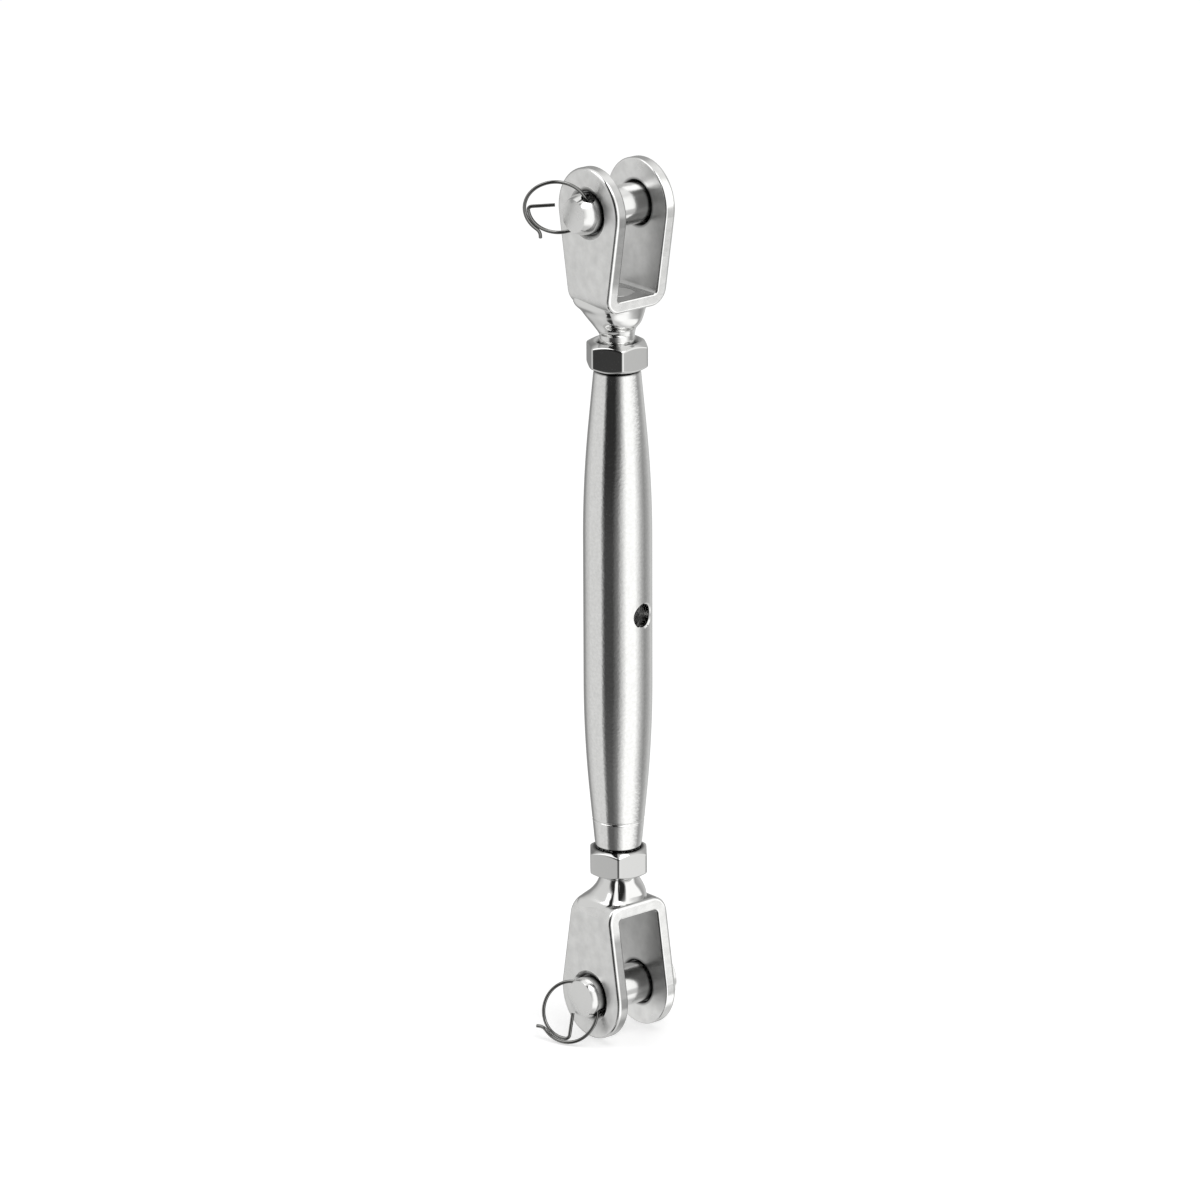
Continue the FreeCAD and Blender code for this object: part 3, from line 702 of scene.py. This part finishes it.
# each row: distance below the web, half sizes along X and Y and squareness, first for the fuller side of the weld
NECKS = {
    "upper_stud": [
        (-2.2, 8.4, 6.6, 9.0, 6.2, 6.0, 2.6), (-1.1, 8.4, 6.55, 9.0, 6.2, 6.0, 2.6), (0.0, 8.0, 6.4, 7.0, 6.2, 6.0, 2.6),
        (1.04, 7.2, 6.2, 5.0, 6.1, 5.9, 2.5), (2.34, 6.5, 6.0, 3.5, 5.9, 5.8, 2.3), (3.76, 5.7, 5.6, 2.6, 5.4, 5.4, 2.1),
        (5.3, 4.95, 4.85, 2.1, 4.4, 4.4, 2.0), (6.7, 4.0, 4.0, 2.0, 4.0, 4.0, 2.0),
    ],
    "lower_stud": [
        (-2.2, 8.4, 6.6, 9.0, 6.2, 6.1, 2.6), (-1.1, 8.1, 6.5, 8.0, 6.2, 6.1, 2.6), (-0.2, 7.7, 6.4, 6.0, 6.2, 6.1, 2.6),
        (0.5, 7.0, 6.1, 4.5, 6.15, 6.05, 2.5), (1.34, 6.1, 5.6, 3.3, 6.1, 6.0, 2.4), (2.43, 5.3, 5.2, 2.4, 5.8, 5.7, 2.2),
        (4.3, 4.5, 4.5, 2.0, 4.9, 4.9, 2.0), (5.5, 4.0, 4.0, 2.0, 4.2, 4.2, 2.0),
    ],
}
FULLER = math.radians(139.7)
FRONT = math.radians(-130.3)
THREAD_FROM = {"upper_stud": 8.5, "lower_stud": 5.9}


def eased(x, xs, ys):
    """A smooth curve through the points."""
    xs, ys = np.array(xs, float), np.array(ys, float)
    slopes = np.gradient(ys, xs)
    i = int(np.clip(np.searchsorted(xs, x) - 1, 0, len(xs) - 2))
    h = xs[i + 1] - xs[i]
    t = min(max((x - xs[i]) / h, 0), 1)
    return float(
        (2 * t ** 3 - 3 * t ** 2 + 1) * ys[i] + (t ** 3 - 2 * t ** 2 + t) * h * slopes[i]
        + (3 * t ** 2 - 2 * t ** 3) * ys[i + 1] + (t ** 3 - t ** 2) * h * slopes[i + 1]
    )


def around(turn, middle):
    return (turn - middle + math.pi) % (2 * math.pi) - math.pi


def ripple(turn, rise, seed):
    """Slow waves left by hand grinding."""
    return (
        0.05 * math.sin(3 * turn + 0.7 * rise + seed) + 0.04 * math.sin(5 * turn - 0.9 * rise + 2.1 * seed)
        + 0.03 * math.sin(2 * turn + 1.6 * rise + 0.7 * seed) + 0.015 * math.sin(9 * turn + 0.8 * rise + 1.3 * seed)
    )


def upper_dents(turn, rise):
    """A slanted hollow where the grinding wheel crossed the weld."""
    off = around(turn, FRONT)
    return 0.16 * math.exp(-((rise - 4.6 - 0.5 * off) / 0.9) ** 2 - (off / 0.7) ** 2)


def lower_dents(turn, rise):
    """One upright crease between two ground faces."""
    off = around(turn, FRONT - math.radians(2))
    side = 1 - off / 0.34 if off > 0 else 1 + off / 0.13
    fade = min(max((rise + 0.1) / 0.9, 0), 1)
    return 0.62 * fade * max(side, 0)


def make_stud(name, replaced, web, sign, hand, seed, dents, spread):
    """sign is +1 for the upper stud, whose shank points down; hand is +1 for a right hand thread."""
    count = 120
    neck = NECKS[replaced]
    bottom = neck[-1][0]
    levels = [row[0] for row in neck]
    rows = []
    for rise, reach in ((-3.0, 3.7), (-3.0, 3.99), (-2.2, 3.99)):
        rows.append([
            (reach * math.cos(2 * math.pi * i / count), reach * math.sin(2 * math.pi * i / count), rise)
            for i in range(count)
        ])
    for rise in np.arange(-2.2, bottom - 0.05, 0.1):
        line = []
        a, b, power, a_far, b_far, power_far = (eased(rise, levels, [row[k] for row in neck]) for k in range(1, 7))
        fade = min(max((rise + 0.2) / 0.8, 0), 1) * min(max((bottom - 0.1 - rise) / 1.2, 0), 1)
        for i in range(count):
            turn = 2 * math.pi * i / count
            c, s = abs(math.cos(turn)), abs(math.sin(turn))
            full = ((c / a) ** power + (s / b) ** power) ** (-1 / power)
            slim = ((c / a_far) ** power_far + (s / b_far) ** power_far) ** (-1 / power_far)
            share = (0.5 + 0.5 * math.cos(turn - FULLER)) ** spread
            reach = full * share + slim * (1 - share) - fade * (0.04 + ripple(turn, rise, seed) + dents(turn, rise))
            line.append((reach * math.cos(turn), reach * math.sin(turn), float(rise)))
        rows.append(line)
    length = 61.6 - 3.0
    rise = bottom
    while rise < length - 0.001:
        line = []
        start = min(max((rise - THREAD_FROM[replaced]) / 1.4, 0), 1)
        tip = min(length - rise, 0.9)
        for i in range(count):
            turn = 2 * math.pi * i / count
            phase = (rise / PITCH + hand * sign * turn / (2 * math.pi)) % 1.0
            wave = abs(phase - 0.5) * 2
            wave = min(max((wave - 0.12) / 0.68, 0), 1)
            reach = CREST - start * (CREST - ROOT) * wave
            reach = min(reach, CREST - 0.9 + tip)
            line.append((reach * math.cos(turn), reach * math.sin(turn), rise))
        rows.append(line)
        rise += PITCH / 12
    rows.append([(x, y, length) for x, y, z in rows[-1]])
    verts = [(x * MM, y * MM, (web - sign * z) * MM) for line in rows for x, y, z in line]
    faces = grid_faces(len(rows), count)
    faces.append(tuple(range(count))[::-1])
    faces.append(tuple((len(rows) - 1) * count + i for i in range(count)))
    mesh = make_mesh(name, verts, faces)
    maker = bmesh.new()
    maker.from_mesh(mesh)
    bmesh.ops.recalc_face_normals(maker, faces=maker.faces)
    maker.to_mesh(mesh)
    maker.free()
    return add_piece(name, mesh, replaced)


make_stud("upper_stud_shell", "upper_stud", 72.1, 1, 1, 0.4, upper_dents, 1.7)
make_stud("lower_stud_shell", "lower_stud", -69.6, -1, -1, 2.2, lower_dents, 2.0)


# the clevis pins, whose ends narrow in a long curve in place of the short chamfer

def narrow_pin(name, pin, end, length, drop):
    radius, chamfer, steps = 4.75, 0.5, 12
    maker = bmesh.new()
    maker.from_mesh(nodes[name].data)
    for step in range(steps):
        spot = Vector((end + length * (steps - step) / steps, 0, 0)) * MM
        everything = maker.verts[:] + maker.edges[:] + maker.faces[:]
        bmesh.ops.bisect_plane(maker, geom=everything, plane_co=spot, plane_no=(1, 0, 0))
    for vertex in maker.verts:
        x, y, above = vertex.co.x / MM, vertex.co.y, vertex.co.z - pin * MM
        reach = math.hypot(y, above) / MM
        share = (end + length - x) / length
        if share > 0 and abs(reach - radius + max(end + chamfer - x, 0)) < 0.03:
            scale = (radius - drop * share ** 2) / reach
            vertex.co.y, vertex.co.z = y * scale, pin * MM + above * scale
    mesh = bpy.data.meshes.new(name + "_shell")
    maker.to_mesh(mesh)
    maker.free()
    mesh.polygons.foreach_set("use_smooth", [True] * len(mesh.polygons))
    mesh.set_sharp_from_angle(angle=math.radians(30))
    normals = [Vector(corner.vector) for corner in mesh.corner_normals]
    for face in mesh.polygons:
        out = Vector((0, face.center.y, face.center.z - pin * MM))
        level = face.center.x / MM
        if level > 8 or out.length < 3.4 * MM or face.normal.dot(out.normalized()) < 0.6:
            continue
        for loop in face.loop_indices:
            spot = mesh.vertices[mesh.loops[loop].vertex_index].co
            out = Vector((0, spot.y, spot.z - pin * MM)).normalized()
            slope = 2 * drop * max(end + length - spot.x / MM, 0) / length ** 2
            normals[loop] = (out - Vector((slope, 0, 0))).normalized()
    mesh.normals_split_custom_set(normals)
    mesh.materials.clear()
    return add_piece(mesh.name, mesh, name)


narrow_pin("upper_clevis_pin", 94.9, -12.8, 3.4, 0.95)
narrow_pin("lower_clevis_pin", -92.4, -11.7, 1.7, 0.5)
